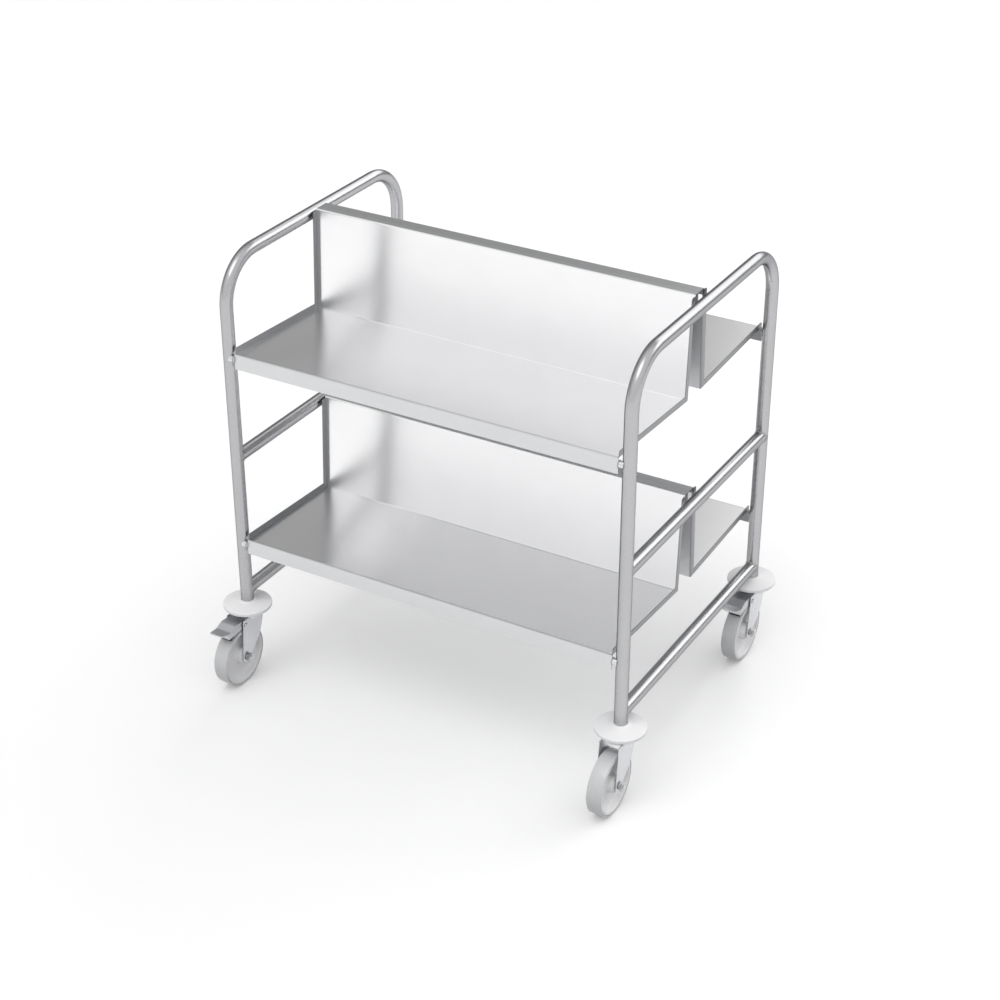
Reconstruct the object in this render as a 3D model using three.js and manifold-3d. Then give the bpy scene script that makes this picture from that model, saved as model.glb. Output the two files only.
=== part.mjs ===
// Two-tier plate trolley: two bent-tube side frames joined by four folded sheet trays, on four
// swivel casters, two of them with a foot brake. Units are millimetres and +Z is up. +X runs to the
// trolley's right and -Y to its front. The origin is on the floor, under the middle of the bounding box.
import * as THREE from "three";
import { mergeVertices } from "three/addons/utils/BufferGeometryUtils.js";
import Module from "manifold-3d";

const wasm = await Module();
wasm.setup();

// ---------- Driving dimensions ----------

const SEAT_GAP = 0.3; // clearance between pieces that are welded, pressed or bolted together

// Side frames: round tube, all cross bars of the same stock. Heights are from the legs' feet.
const TUBE_RADIUS = 12.5;
const TUBE_WALL = 1.5;
const TUBE_SIDES = 16;
const FRAME_SPACING = 832; // between the leg axes, along X
const FRAME_DEPTH = 582; // between the leg axes, along Y
const FRAME_HEIGHT = 733; // to the axis of the top run
const MID_BAR_RISE = 333;
const LOW_BAR_RISE = 35;
const BEND_RADIUS = 90;
const BEND_STEPS = 6;

// Trays: the fold between lip and floor is the reference line of each tier.
const SHEET = 1.5;
const TRAY_END_GAP = 5; // between a tray's end and the legs
const LIP_PROUD = 9; // from the leg axis out to the lip's outer face
const LOWER_FOLD_RISE = 157.5; // above the legs' feet
const UPPER_FOLD_DROP = 174.5; // below the axis of the frames' top run
const LIP_HEIGHT = 31;
const SPINE_BASE = 55.6; // between the heels of the two back walls
const WALL_HEIGHT = 203; // square to the floor
const TRAY_TILT = THREE.MathUtils.degToRad(2.8);
const END_FLANGE = 15;
const FLANGE_CHAMFER = 4;
const FLANGE_TOP_DROP = 4; // the end flange stops this far below the top fold
const WINDOW_DROP = 14; // relief window in the rear walls, below the top fold
const WINDOW_HEIGHT = 20;
const WINDOW_WIDTH = 11;

// Studs between the lip ends and the legs.
const STUD_RADIUS = 6.5;
const STUD_DROP = 11.5; // axis below the fold
const STUD_INSET = 1.5; // axis behind the lip's outer face
const STUD_SIDES = 12;

// Buffer disc around the foot of each leg. Heights are from the leg's foot.
const BUMPER_RADIUS = 48.5;
const BUMPER_SKIRT = 2; // the rim hangs this far below the foot
const BUMPER_EDGE = 6;
const BUMPER_CROWN = 13;
const BUMPER_RIM = 5;
const BUMPER_CHAMFER = 1.6;
const BUMPER_SEGMENTS = 24;

// Caster stem: plug in the tube, bearing flange and king pin with its riveted head.
const STEM_PLUG = 49;
const STEM_PLUG_CHAMFER = 3;
const STEM_FLANGE_RADIUS = 28;
const STEM_FLANGE = 4;
const KING_PIN_RADIUS = 6;
const KING_PIN_HEAD_RADIUS = 9;
const KING_PIN_HEAD = 4;

// Ball race under the flange.
const RACE_OUTER = 27;
const RACE_INNER = 15;
const RACE_HEIGHT = 4;
const RACE_CHAMFER = 0.8;

// Wheel.
const WHEEL_RADIUS = 62.5;
const WHEEL_SEGMENTS = 28;
const CASTER_TRAIL = 40; // from the swivel axis forward to the axle
const TYRE_WIDTH = 30;
const TYRE_THICKNESS = 12.5;
const TYRE_SHOULDER = 2.5;
const RIM_DEPTH = 5.5;
const RIM_INSET = 1; // each side of the rim behind the tyre's side
const WEB = 8;
const HUB_RADIUS = 17;
const HUB_PROUD = 1.5; // each end of the hub beyond the tyre's side
const RUNNING_GAP = 0.4; // radial, between the hub's bore and the sleeve

// Fork: a cupped crown and two side plates.
const WHEEL_TO_CROWN = 21.1; // from the wheel's top to the crown plate
const CROWN_RADIUS = 30;
const CROWN_PLATE = 4;
const CROWN_SKIRT = 5;
const CROWN_SKIRT_WALL = 3;
const CROWN_CHAMFER = 1;
const CROWN_SEGMENTS = 16;
const HUB_END_GAP = 2.5; // between an end of the hub and a side plate
const FORK_PLATE = 3;
const FORK_FRONT = 44; // from the swivel axis forward, at the crown
const FORK_REAR = 20;
const FORK_EYE_RADIUS = 12.5;

// Axle.
const BOLT_RADIUS = 5;
const HEX_FLATS = 16;
const BOLT_HEAD = 6.5;
const NUT_HEIGHT = 8;
const BOLT_TAIL = 2.5; // thread standing out of the nut
const SLEEVE_WALL = 2.7;

// Foot brake: the pin is placed from the fork's front edge and the crown, the pedal from the pin.
const BRAKE_PIN_INSET = 6;
const BRAKE_PIN_DROP = 10.1; // below the crown plate
const BRAKE_PIN_RADIUS = 3;
const BRAKE_PIN_HEAD = 2;
const BRAKE_BOSS_RADIUS = 6;
const PEDAL_CHEEK = 2;
const PEDAL_CHEEK_GAP = 0.5; // between a cheek and the plane of the tyre's side
const PEDAL_PLATE = 3;
const PEDAL_RISE = 13.5; // top of the tread above the pin
const PEDAL_HEEL = 4; // end of the tread behind the pin
const PEDAL_TREAD = 52; // from the pin forward to the step
const PEDAL_TIP = 17; // from the step forward to the tip
const PEDAL_STEP = 5;
const SHOE_INSET = 3; // each side of the shoe inside the tyre's side
const SHOE_ARM_WIDTH = 12;
const SHOE_GAP = 1.5; // between the released shoe and the tyre
const SHOE_DEPTH = 8;
const SHOE_START = THREE.MathUtils.degToRad(15); // ahead of the wheel's top
const SHOE_END = THREE.MathUtils.degToRad(34);

// ---------- Materials ----------

function material(name, colour, roughness, metalness) {
  const made = new THREE.MeshStandardMaterial({ color: colour, roughness, metalness });
  made.name = name;
  return made;
}

const stainlessTube = () => material("stainless_tube", 0xb9babd, 0.28, 1);
const stainlessSheet = () => material("stainless_sheet", 0xd2d3d4, 0.38, 1);
const zincSteel = () => material("zinc_steel", 0xb4b5b7, 0.35, 1);
const brightSteel = () => material("bright_steel", 0xc4c5c6, 0.25, 1);
const bumperPlastic = () => material("bumper_plastic", 0xe9e9ea, 0.45, 0);
const corePlastic = () => material("core_plastic", 0xa9aaac, 0.5, 0);
const tyreRubber = () => material("tyre_rubber", 0x9d9ea0, 0.75, 0);
const shoeRubber = () => material("shoe_rubber", 0x4a4b4e, 0.8, 0);

// ---------- Solids ----------

// A geometry as a solid that can be joined and cut.
function solidOf(geometry) {
  const bare = geometry.clone();
  bare.deleteAttribute("normal");
  bare.deleteAttribute("uv");
  const merged = mergeVertices(bare, 1e-4);
  return new wasm.Manifold(
    new wasm.Mesh({
      numProp: 3,
      vertProperties: new Float32Array(merged.attributes.position.array),
      triVerts: new Uint32Array(merged.index.array),
    }),
  );
}

// The way back, from a solid to a geometry.
function geometryOf(solid) {
  const mesh = solid.getMesh();
  const stride = mesh.numProp;
  const positions = new Float32Array(mesh.numVert * 3);
  for (let i = 0; i < mesh.numVert; i++) {
    positions.set(mesh.vertProperties.subarray(i * stride, i * stride + 3), i * 3);
  }
  const geometry = new THREE.BufferGeometry();
  geometry.setAttribute("position", new THREE.BufferAttribute(positions, 3));
  geometry.setIndex(new THREE.BufferAttribute(new Uint32Array(mesh.triVerts), 1));
  geometry.computeVertexNormals();
  return geometry;
}

const join = (first, ...others) => others.reduce((sum, other) => sum.add(other), first);
const cut = (first, ...tools) => tools.reduce((rest, tool) => rest.subtract(tool), first);

const point = (a, b) => new THREE.Vector2(a, b);

// Puts a shape drawn in (Y, Z) upright and extrudes it along X, from one x to the other.
function extrudeAlongX(shape, fromX, toX, curveSegments = 6) {
  const geometry = new THREE.ExtrudeGeometry(shape, {
    depth: toX - fromX,
    bevelEnabled: false,
    curveSegments,
  });
  const turn = new THREE.Matrix4().makeBasis(
    new THREE.Vector3(0, 1, 0),
    new THREE.Vector3(0, 0, 1),
    new THREE.Vector3(1, 0, 0),
  );
  return geometry.applyMatrix4(turn).translate(fromX, 0, 0);
}

// Revolves a closed outline of (radius, height) points about the height axis.
function revolve(outline, segments) {
  const closed = [...outline];
  const onAxis = outline[0].x === 0 && outline.at(-1).x === 0;
  if (THREE.ShapeUtils.area(outline) < 0) closed.reverse();
  if (!onAxis) closed.push(closed[0]);
  return new THREE.LatheGeometry(closed, segments);
}

const revolveAboutZ = (outline, segments) => revolve(outline, segments).rotateX(Math.PI / 2);
const revolveAboutX = (outline, segments) => revolve(outline, segments).rotateZ(-Math.PI / 2);

const drumAboutX = (radius, fromX, toX, sides) =>
  revolveAboutX([point(0, fromX), point(radius, fromX), point(radius, toX), point(0, toX)], sides);

const drumAboutZ = (radius, fromZ, toZ, sides) =>
  revolveAboutZ([point(0, fromZ), point(radius, fromZ), point(radius, toZ), point(0, toZ)], sides);

function box(fromX, toX, fromY, toY, fromZ, toZ) {
  const geometry = new THREE.BoxGeometry(toX - fromX, toY - fromY, toZ - fromZ);
  return geometry.translate((fromX + toX) / 2, (fromY + toY) / 2, (fromZ + toZ) / 2);
}

function ringShape(outer, inner) {
  const shape = new THREE.Shape();
  shape.absarc(0, 0, outer, 0, Math.PI * 2);
  if (inner > 0) {
    const hole = new THREE.Path();
    hole.absarc(0, 0, inner, 0, Math.PI * 2);
    shape.holes.push(hole);
  }
  return shape;
}

// ---------- Places that pieces share ----------

const legX = FRAME_SPACING / 2;
const legY = FRAME_DEPTH / 2;
const trayEndX = legX - TUBE_RADIUS - TRAY_END_GAP;
const lipY = legY + LIP_PROUD;

// Casters, from the floor up.
const axleY = -CASTER_TRAIL;
const axleZ = WHEEL_RADIUS;
const tyreSide = TYRE_WIDTH / 2;
const tyreInner = WHEEL_RADIUS - TYRE_THICKNESS;
const hubEnd = tyreSide + HUB_PROUD;
const sleeveBore = BOLT_RADIUS + SEAT_GAP;
const sleeveRadius = sleeveBore + SLEEVE_WALL;
const forkInner = hubEnd + HUB_END_GAP;
const forkOuter = forkInner + FORK_PLATE;
const crownPlateZ = WHEEL_RADIUS * 2 + WHEEL_TO_CROWN;
const crownTopZ = crownPlateZ + CROWN_PLATE;
const raceBottomZ = crownTopZ + SEAT_GAP;
const raceTopZ = raceBottomZ + RACE_HEIGHT;
const flangeBottomZ = raceTopZ + SEAT_GAP;
const flangeTopZ = flangeBottomZ + STEM_FLANGE;
const legFootZ = flangeTopZ + SEAT_GAP;
const pinY = BRAKE_PIN_INSET - FORK_FRONT;
const pinZ = crownPlateZ - BRAKE_PIN_DROP;
const pedalOuter = tyreSide + PEDAL_CHEEK_GAP + PEDAL_CHEEK;
const pedalTipY = pinY - PEDAL_TREAD - PEDAL_TIP;

// Frames and tiers, from the legs' feet up.
const frameTopZ = legFootZ + FRAME_HEIGHT;
const midBarZ = legFootZ + MID_BAR_RISE;
const lowBarZ = legFootZ + LOW_BAR_RISE;
const lowerFoldZ = legFootZ + LOWER_FOLD_RISE;
const upperFoldZ = frameTopZ - UPPER_FOLD_DROP;

// ---------- Side frames ----------

// The tube's centre line: up the front leg, over the two bends and down the rear leg. Each straight
// is one step and each bend several, so the sections fall where the shape needs them.
class FrameLine extends THREE.Curve {
  constructor(x) {
    super();
    const innerY = legY - BEND_RADIUS;
    const innerZ = frameTopZ - BEND_RADIUS;
    this.sections = [[new THREE.Vector3(x, -legY, legFootZ), new THREE.Vector3(0, 0, 1)]];
    for (const side of [-1, 1]) {
      for (let i = 0; i <= BEND_STEPS; i++) {
        const turned = (Math.PI / 2) * (i / BEND_STEPS);
        const angle = side < 0 ? Math.PI - turned : Math.PI / 2 - turned;
        const across = Math.cos(angle);
        const up = Math.sin(angle);
        this.sections.push([
          new THREE.Vector3(x, side * innerY + BEND_RADIUS * across, innerZ + BEND_RADIUS * up),
          new THREE.Vector3(0, up, -across),
        ]);
      }
    }
    this.sections.push([new THREE.Vector3(x, legY, legFootZ), new THREE.Vector3(0, 0, -1)]);
  }

  get steps() {
    return this.sections.length - 1;
  }

  getSpacedPoints() {
    return this.sections.map(([place]) => place.clone());
  }

  getTangentAt(along, target = new THREE.Vector3()) {
    return target.copy(this.sections[Math.round(along * this.steps)][1]);
  }
}

function frameTube(x) {
  const line = new FrameLine(x);
  return new THREE.ExtrudeGeometry(ringShape(TUBE_RADIUS, TUBE_RADIUS - TUBE_WALL), {
    steps: line.steps,
    extrudePath: line,
    curveSegments: TUBE_SIDES / 2,
  });
}

// A cutter for whatever is welded to a leg: the leg's outside with the seat gap round it.
const legCutter = (x, y) =>
  solidOf(drumAboutZ(TUBE_RADIUS + SEAT_GAP, 0, frameTopZ, TUBE_SIDES).translate(x, y, 0));

// A cross bar with both ends coped to the legs.
function crossBar(x, z) {
  const bore = TUBE_RADIUS - TUBE_WALL;
  const outline = [
    point(bore, -legY),
    point(TUBE_RADIUS, -legY),
    point(TUBE_RADIUS, legY),
    point(bore, legY),
  ];
  const blank = solidOf(revolve(outline, TUBE_SIDES).translate(x, 0, z));
  return geometryOf(cut(blank, legCutter(x, -legY), legCutter(x, legY)));
}

// ---------- Trays ----------

// The tray's upper surface in (Y, Z) for the front tray of the tier whose fold is at foldZ.
function trayLine(foldZ) {
  const alongFloor = point(Math.cos(TRAY_TILT), -Math.sin(TRAY_TILT));
  const upWall = point(Math.sin(TRAY_TILT), Math.cos(TRAY_TILT));
  const fold = point(-lipY, foldZ);
  const floorWidth = (lipY - SPINE_BASE / 2) / alongFloor.x;
  const heel = fold.clone().addScaledVector(alongFloor, floorWidth);
  const crest = heel.clone().addScaledVector(upWall, WALL_HEIGHT);
  return { alongFloor, upWall, fold, heel, crest };
}

// An open line thickened to the right of its direction, with mitred corners.
function thicken(line, thickness) {
  const right = (a, b) => point(b.y - a.y, a.x - b.x).normalize();
  const offset = line.map((corner, i) => {
    const before = i > 0 ? right(line[i - 1], corner) : right(corner, line[i + 1]);
    const after = i < line.length - 1 ? right(corner, line[i + 1]) : before;
    const mitre = before.clone().add(after).normalize();
    return corner.clone().addScaledVector(mitre, thickness / mitre.dot(before));
  });
  return [...line, ...offset.reverse()];
}

// The L-shaped flange that closes one end of the tray, standing off floor and wall.
function endFlangeShape({ alongFloor, upWall, fold, heel, crest }) {
  const at = (origin, along, up) =>
    origin.clone().addScaledVector(alongFloor, along).addScaledVector(upWall, up);
  const top = -FLANGE_TOP_DROP;
  return new THREE.Shape([
    at(fold, SHEET, -SHEET),
    at(heel, SHEET, -SHEET),
    at(crest, SHEET, top),
    at(crest, FLANGE_CHAMFER - END_FLANGE, top),
    at(crest, -END_FLANGE, top - FLANGE_CHAMFER),
    at(heel, -END_FLANGE, END_FLANGE),
    at(fold, FLANGE_CHAMFER * 2, END_FLANGE),
    at(fold, FLANGE_CHAMFER, END_FLANGE - FLANGE_CHAMFER),
    at(fold, SHEET, 0),
  ]);
}

// The front tray of a tier. The rear one is the same turned about Z, with a relief window near the
// top of its wall at each end.
function tray(foldZ, rear) {
  const line = trayLine(foldZ);
  const { fold, crest } = line;
  const surface = [
    point(fold.x, fold.y - LIP_HEIGHT),
    fold,
    line.heel,
    crest,
    point(-SEAT_GAP / 2, crest.y),
  ];
  const sheet = new THREE.Shape(thicken(surface, SHEET));
  const flange = endFlangeShape(line);
  let solid = join(
    solidOf(extrudeAlongX(sheet, -trayEndX, trayEndX)),
    solidOf(extrudeAlongX(flange, -trayEndX, SHEET - trayEndX)),
    solidOf(extrudeAlongX(flange, trayEndX - SHEET, trayEndX)),
  );
  if (rear) {
    const topZ = crest.y - WINDOW_DROP;
    const [frontY, backY] = [crest.x - SHEET * 2, crest.x + SHEET * 2];
    const inner = trayEndX - WINDOW_WIDTH;
    for (const [fromX, toX] of [[inner, trayEndX - SHEET], [SHEET - trayEndX, -inner]]) {
      solid = cut(solid, solidOf(box(fromX, toX, frontY, backY, topZ - WINDOW_HEIGHT, topZ)));
    }
  }
  const geometry = geometryOf(solid);
  return rear ? geometry.rotateZ(Math.PI) : geometry;
}

// One stud, from a lip's end to the leg, coped to the leg.
function trayStud(foldZ, sideX, sideY) {
  const y = sideY * (lipY - STUD_INSET);
  const start = trayEndX + SEAT_GAP;
  const end = legX - TUBE_RADIUS / 2;
  const [fromX, toX] = sideX > 0 ? [start, end] : [-end, -start];
  const blank = drumAboutX(STUD_RADIUS, fromX, toX, STUD_SIDES).translate(0, y, foldZ - STUD_DROP);
  return geometryOf(cut(solidOf(blank), legCutter(sideX * legX, sideY * legY)));
}

// ---------- Casters, each drawn about its own swivel axis ----------

const toAxle = (geometry) => geometry.translate(0, axleY, axleZ);
const toBrakePin = (geometry) => geometry.translate(0, pinY, pinZ);

const brakePinCutter = () =>
  solidOf(toBrakePin(drumAboutX(BRAKE_PIN_RADIUS + SEAT_GAP, -forkOuter * 2, forkOuter * 2, STUD_SIDES)));

function bumper() {
  const bore = TUBE_RADIUS + SEAT_GAP;
  const bottom = legFootZ - BUMPER_SKIRT;
  const edge = legFootZ + BUMPER_EDGE;
  return revolveAboutZ(
    [
      point(bore, legFootZ),
      point(BUMPER_RADIUS - BUMPER_RIM, legFootZ),
      point(BUMPER_RADIUS - BUMPER_RIM, bottom),
      point(BUMPER_RADIUS - BUMPER_CHAMFER, bottom),
      point(BUMPER_RADIUS, bottom + BUMPER_CHAMFER),
      point(BUMPER_RADIUS, edge - BUMPER_CHAMFER),
      point(BUMPER_RADIUS - BUMPER_CHAMFER, edge),
      point(bore, legFootZ + BUMPER_CROWN),
    ],
    BUMPER_SEGMENTS,
  );
}

function stem() {
  const plug = TUBE_RADIUS - TUBE_WALL - SEAT_GAP;
  const plugTop = legFootZ + STEM_PLUG;
  const headTop = crownPlateZ - SEAT_GAP;
  return revolveAboutZ(
    [
      point(0, headTop - KING_PIN_HEAD),
      point(KING_PIN_HEAD_RADIUS, headTop - KING_PIN_HEAD),
      point(KING_PIN_HEAD_RADIUS, headTop),
      point(KING_PIN_RADIUS, headTop),
      point(KING_PIN_RADIUS, flangeBottomZ),
      point(STEM_FLANGE_RADIUS, flangeBottomZ),
      point(STEM_FLANGE_RADIUS, flangeTopZ),
      point(plug, flangeTopZ),
      point(plug, plugTop - STEM_PLUG_CHAMFER),
      point(plug - STEM_PLUG_CHAMFER, plugTop),
      point(0, plugTop),
    ],
    TUBE_SIDES,
  );
}

function ballRace() {
  return revolveAboutZ(
    [
      point(RACE_INNER, raceBottomZ),
      point(RACE_OUTER - RACE_CHAMFER, raceBottomZ),
      point(RACE_OUTER, raceBottomZ + RACE_CHAMFER),
      point(RACE_OUTER, raceTopZ - RACE_CHAMFER),
      point(RACE_OUTER - RACE_CHAMFER, raceTopZ),
      point(RACE_INNER, raceTopZ),
    ],
    TUBE_SIDES,
  );
}

// A side plate of the fork in (Y, Z): straight at the front, round at the axle's eye and swept back
// to the crown at the rear.
function forkPlateShape() {
  const shape = new THREE.Shape();
  const eyeFront = axleY - FORK_EYE_RADIUS;
  const neckAngle = -Math.PI / 9;
  shape.moveTo(FORK_REAR, crownPlateZ + CROWN_PLATE / 2);
  shape.lineTo(-FORK_FRONT, crownPlateZ + CROWN_PLATE / 2);
  shape.lineTo(eyeFront, axleZ);
  shape.absarc(axleY, axleZ, FORK_EYE_RADIUS, Math.PI, Math.PI * 2 + neckAngle);
  shape.bezierCurveTo(
    axleY + FORK_EYE_RADIUS * 2,
    axleZ + FORK_EYE_RADIUS,
    FORK_REAR - FORK_EYE_RADIUS / 2,
    axleZ + FORK_EYE_RADIUS * 2,
    FORK_REAR,
    crownPlateZ - CROWN_SKIRT,
  );
  return shape;
}

// The fork, with holes for the king pin, the axle and, on a braked caster, the brake's pin.
function fork(braked) {
  const kingBore = KING_PIN_RADIUS + RUNNING_GAP;
  const skirtInner = CROWN_RADIUS - CROWN_SKIRT_WALL;
  const crown = revolveAboutZ(
    [
      point(kingBore, crownPlateZ),
      point(skirtInner, crownPlateZ),
      point(skirtInner, crownPlateZ - CROWN_SKIRT),
      point(CROWN_RADIUS, crownPlateZ - CROWN_SKIRT),
      point(CROWN_RADIUS, crownTopZ - CROWN_CHAMFER),
      point(CROWN_RADIUS - CROWN_CHAMFER, crownTopZ),
      point(kingBore, crownTopZ),
    ],
    CROWN_SEGMENTS,
  );
  const plate = forkPlateShape();
  const axleHole = drumAboutX(BOLT_RADIUS + SEAT_GAP, -forkOuter * 2, forkOuter * 2, STUD_SIDES);
  let solid = join(
    solidOf(crown),
    solidOf(extrudeAlongX(plate, forkInner, forkOuter)),
    solidOf(extrudeAlongX(plate, -forkOuter, -forkInner)),
  );
  solid = cut(solid, solidOf(toAxle(axleHole)));
  if (braked) {
    solid = cut(solid, brakePinCutter());
  }
  return geometryOf(solid);
}

const hexagon = (fromX, toX) => drumAboutX(HEX_FLATS / Math.sqrt(3), fromX, toX, 6);

function axleBolt() {
  const head = forkOuter + SEAT_GAP;
  const tail = forkOuter + SEAT_GAP + NUT_HEIGHT + BOLT_TAIL;
  const shank = drumAboutX(BOLT_RADIUS, -head, tail, STUD_SIDES);
  return toAxle(geometryOf(join(solidOf(hexagon(-head - BOLT_HEAD, -head)), solidOf(shank))));
}

function axleNut() {
  const inner = forkOuter + SEAT_GAP;
  const thread = drumAboutX(BOLT_RADIUS + SEAT_GAP, 0, inner + NUT_HEIGHT * 2, STUD_SIDES);
  return toAxle(geometryOf(cut(solidOf(hexagon(inner, inner + NUT_HEIGHT)), solidOf(thread))));
}

function axleSleeve() {
  const end = forkInner - SEAT_GAP;
  const outline = [
    point(sleeveBore, -end),
    point(sleeveRadius, -end),
    point(sleeveRadius, end),
    point(sleeveBore, end),
  ];
  return toAxle(revolveAboutX(outline, STUD_SIDES));
}

function wheelCore() {
  const bore = (sleeveRadius + RUNNING_GAP) / Math.cos(Math.PI / WHEEL_SEGMENTS);
  const rimOuter = tyreInner - SEAT_GAP;
  const rimInner = rimOuter - RIM_DEPTH;
  const rimSide = tyreSide - RIM_INSET;
  const half = [
    point(bore, hubEnd),
    point(HUB_RADIUS, hubEnd),
    point(HUB_RADIUS, WEB / 2),
    point(rimInner, WEB / 2),
    point(rimInner, rimSide),
    point(rimOuter, rimSide),
  ];
  const otherHalf = half.map(({ x, y }) => point(x, -y)).reverse();
  return toAxle(revolveAboutX([...half, ...otherHalf], WHEEL_SEGMENTS));
}

function tyre() {
  return toAxle(
    revolveAboutX(
      [
        point(tyreInner, tyreSide),
        point(WHEEL_RADIUS - TYRE_SHOULDER, tyreSide),
        point(WHEEL_RADIUS, tyreSide - TYRE_SHOULDER),
        point(WHEEL_RADIUS, TYRE_SHOULDER - tyreSide),
        point(WHEEL_RADIUS - TYRE_SHOULDER, -tyreSide),
        point(tyreInner, -tyreSide),
      ],
      WHEEL_SEGMENTS,
    ),
  );
}

// ---------- Foot brake ----------

function brakePin() {
  const inner = forkOuter + SEAT_GAP;
  const headRadius = BRAKE_PIN_RADIUS * 1.6;
  const outer = inner + BRAKE_PIN_HEAD;
  return toBrakePin(
    geometryOf(
      join(
        solidOf(drumAboutX(BRAKE_PIN_RADIUS, -inner, inner, STUD_SIDES)),
        solidOf(drumAboutX(headRadius, -outer, -inner, STUD_SIDES)),
        solidOf(drumAboutX(headRadius, inner, outer, STUD_SIDES)),
      ),
    ),
  );
}

// Tread plate with a stepped tip, and a cheek on each side that hangs down to the pin.
function brakePedal() {
  const top = pinZ + PEDAL_RISE;
  const tipTop = top - PEDAL_STEP;
  const heelY = pinY + PEDAL_HEEL;
  const stepY = pinY - PEDAL_TREAD;
  const tread = new THREE.Shape(
    thicken(
      [point(pedalTipY, tipTop), point(stepY - PEDAL_STEP, tipTop), point(stepY, top), point(heelY, top)],
      PEDAL_PLATE,
    ),
  );
  const treadMiddle = top - PEDAL_PLATE / 2;
  const cheekBottom = pinZ - BRAKE_BOSS_RADIUS;
  const cheek = new THREE.Shape([
    point(pinY + BRAKE_BOSS_RADIUS, pinZ),
    point(heelY - PEDAL_PLATE, treadMiddle),
    point(stepY + PEDAL_STEP, treadMiddle),
    point(stepY + PEDAL_STEP * 3, cheekBottom),
    point(pinY, cheekBottom),
  ]);
  const inner = pedalOuter - PEDAL_CHEEK;
  const solid = join(
    solidOf(extrudeAlongX(tread, -pedalOuter, pedalOuter)),
    solidOf(extrudeAlongX(cheek, inner, pedalOuter)),
    solidOf(extrudeAlongX(cheek, -pedalOuter, -inner)),
  );
  return geometryOf(cut(solid, brakePinCutter()));
}

// Rubber shoe: a block whose flat face meets the tyre at its middle, on an arm from the pin.
function brakeShoe() {
  const face = WHEEL_RADIUS + SHOE_GAP;
  const middle = (SHOE_START + SHOE_END) / 2;
  const faceEnd = face / Math.cos(middle - SHOE_START);
  const onWheel = (radius, angle) =>
    point(axleY - radius * Math.sin(angle), axleZ + radius * Math.cos(angle));
  const block = new THREE.Shape([
    onWheel(faceEnd, SHOE_START),
    onWheel(faceEnd, SHOE_END),
    onWheel(face + SHOE_DEPTH, SHOE_END),
    onWheel(face + SHOE_DEPTH, SHOE_START),
  ]);
  const neck = BRAKE_BOSS_RADIUS * 0.8;
  const arm = new THREE.Shape([
    onWheel(face + SHOE_DEPTH * 0.3, SHOE_START),
    onWheel(face + SHOE_DEPTH * 0.5, middle),
    onWheel(face + SHOE_DEPTH * 0.9, middle),
    point(pinY, pinZ + neck),
    point(pinY, pinZ - neck),
  ]);
  const side = tyreSide - SHOE_INSET;
  const armSide = SHOE_ARM_WIDTH / 2;
  const solid = join(
    solidOf(extrudeAlongX(block, -side, side)),
    solidOf(extrudeAlongX(arm, -armSide, armSide)),
    solidOf(toBrakePin(drumAboutX(BRAKE_BOSS_RADIUS, -armSide, armSide, STUD_SIDES))),
  );
  return geometryOf(cut(solid, brakePinCutter()));
}

// ---------- Assembly ----------

function addPiece(group, name, geometry, finish) {
  const piece = new THREE.Mesh(geometry, finish);
  piece.name = name;
  group.add(piece);
  return piece;
}

function sideFrame(name, x) {
  const frame = new THREE.Group();
  addPiece(frame, `${name}_frame_tube`, frameTube(x), stainlessTube());
  addPiece(frame, `${name}_mid_bar`, crossBar(x, midBarZ), stainlessTube());
  addPiece(frame, `${name}_low_bar`, crossBar(x, lowBarZ), stainlessTube());
  return frame;
}

function tier(name, foldZ) {
  const made = new THREE.Group();
  for (const [depth, sideY] of [["front", -1], ["rear", 1]]) {
    addPiece(made, `${name}_${depth}_tray`, tray(foldZ, sideY > 0), stainlessSheet());
    for (const [side, sideX] of [["left", -1], ["right", 1]]) {
      const stud = trayStud(foldZ, sideX, sideY);
      addPiece(made, `${name}_${depth}_${side}_stud`, stud, brightSteel());
    }
  }
  return made;
}

function caster(name, x, y, braked) {
  const made = new THREE.Group();
  made.position.set(x, y, 0);
  addPiece(made, `${name}_bumper`, bumper(), bumperPlastic());
  addPiece(made, `${name}_stem`, stem(), zincSteel());
  addPiece(made, `${name}_ball_race`, ballRace(), brightSteel());
  addPiece(made, `${name}_fork`, fork(braked), zincSteel());
  addPiece(made, `${name}_axle_bolt`, axleBolt(), brightSteel());
  addPiece(made, `${name}_axle_nut`, axleNut(), brightSteel());
  addPiece(made, `${name}_axle_sleeve`, axleSleeve(), brightSteel());
  addPiece(made, `${name}_wheel_core`, wheelCore(), corePlastic());
  addPiece(made, `${name}_tyre`, tyre(), tyreRubber());
  if (braked) {
    addPiece(made, `${name}_brake_pedal`, brakePedal(), zincSteel());
    addPiece(made, `${name}_brake_shoe`, brakeShoe(), shoeRubber());
    addPiece(made, `${name}_brake_pin`, brakePin(), brightSteel());
  }
  return made;
}

const frontReach = Math.max(legY - pedalTipY, legY + CASTER_TRAIL + WHEEL_RADIUS, lipY);
const rearReach = Math.max(legY + BUMPER_RADIUS, lipY);

const trolley = new THREE.Group();
trolley.position.y = (frontReach - rearReach) / 2;
trolley.add(
  sideFrame("left", -legX),
  sideFrame("right", legX),
  tier("lower", lowerFoldZ),
  tier("upper", upperFoldZ),
  caster("front_left", -legX, -legY, true),
  caster("front_right", legX, -legY, false),
  caster("rear_left", -legX, legY, false),
  caster("rear_right", legX, legY, true),
);

const root = new THREE.Group();
root.add(trolley);
export default root;
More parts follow.
